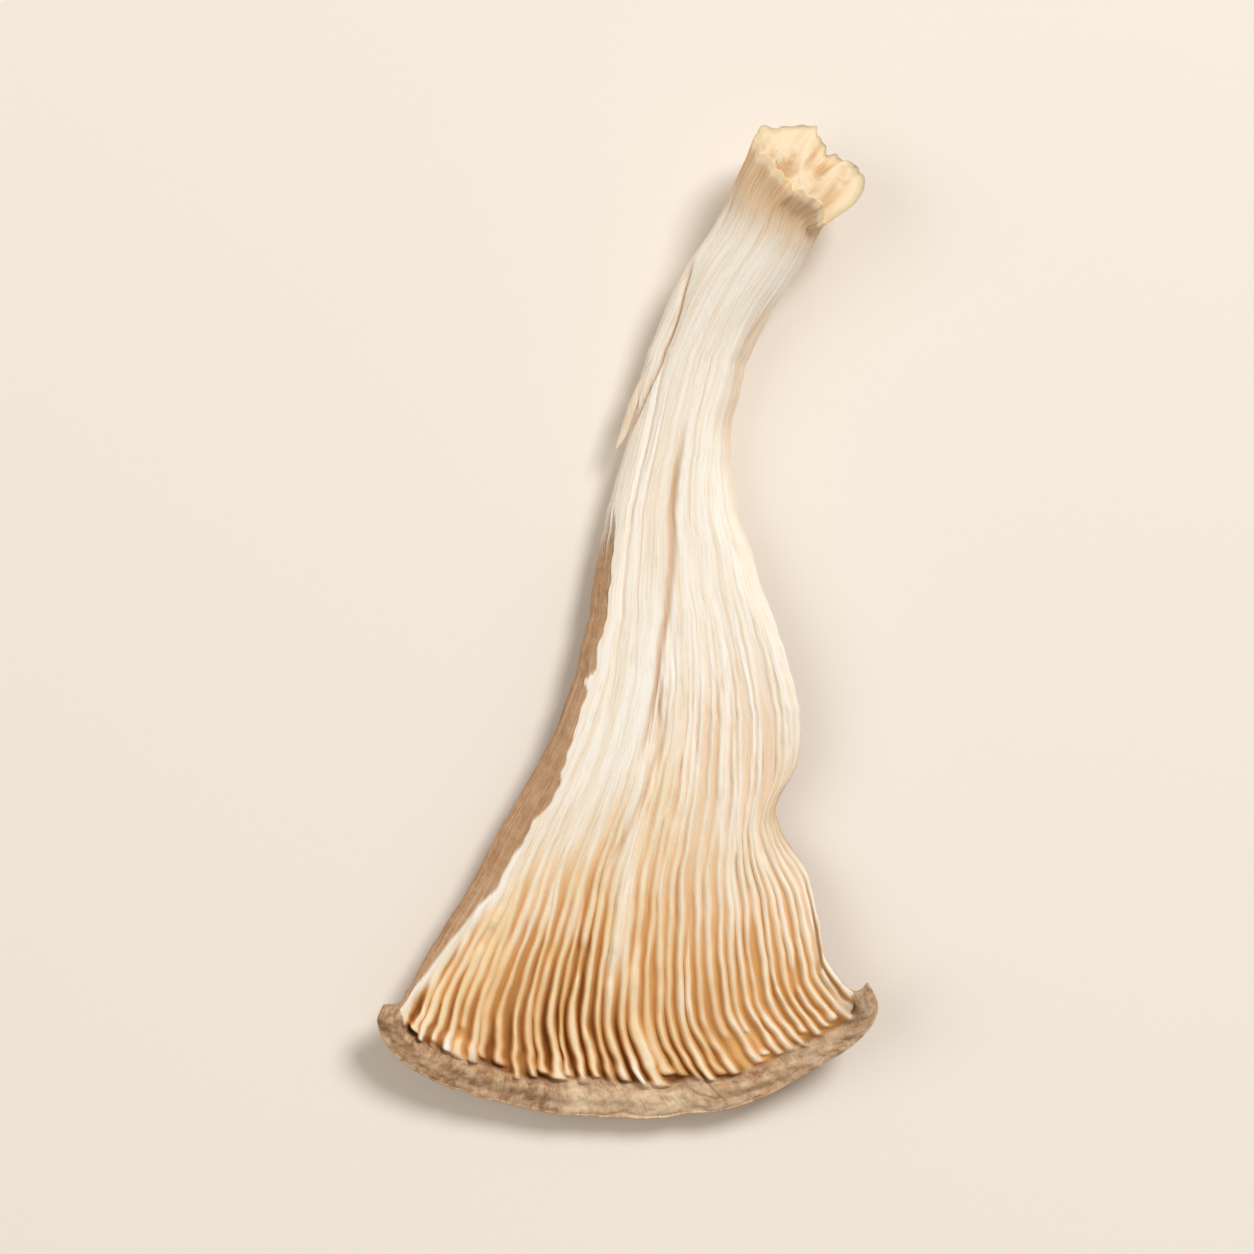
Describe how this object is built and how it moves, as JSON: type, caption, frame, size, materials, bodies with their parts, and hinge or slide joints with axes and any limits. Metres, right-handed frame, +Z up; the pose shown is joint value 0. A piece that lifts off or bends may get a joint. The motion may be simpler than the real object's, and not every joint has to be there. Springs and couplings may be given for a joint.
{
  "type": "dried oyster mushroom strip",
  "caption": "Dried strip of oyster mushroom lying gills up: cut fibrous stem widening through a furrowed neck into a gilled fan with a rolled brown margin.",
  "frame": {"origin": "centre of the strip's bounding box, on the surface it lies on", "axes": "+Y along the strip towards the cut end of the stem, +X across it to the right as seen from above with the gills facing up, +Z up"},
  "size_m": [0.0318, 0.0634, 0.0086],
  "materials": {
    "dried_mushroom": "matte dried tissue: cream fibrous stem, golden gills, grey-brown skin on the margin and back"
  },
  "bodies": {
    "root": {"mushroom_strip": "dried_mushroom"}
  },
  "joints": []
}
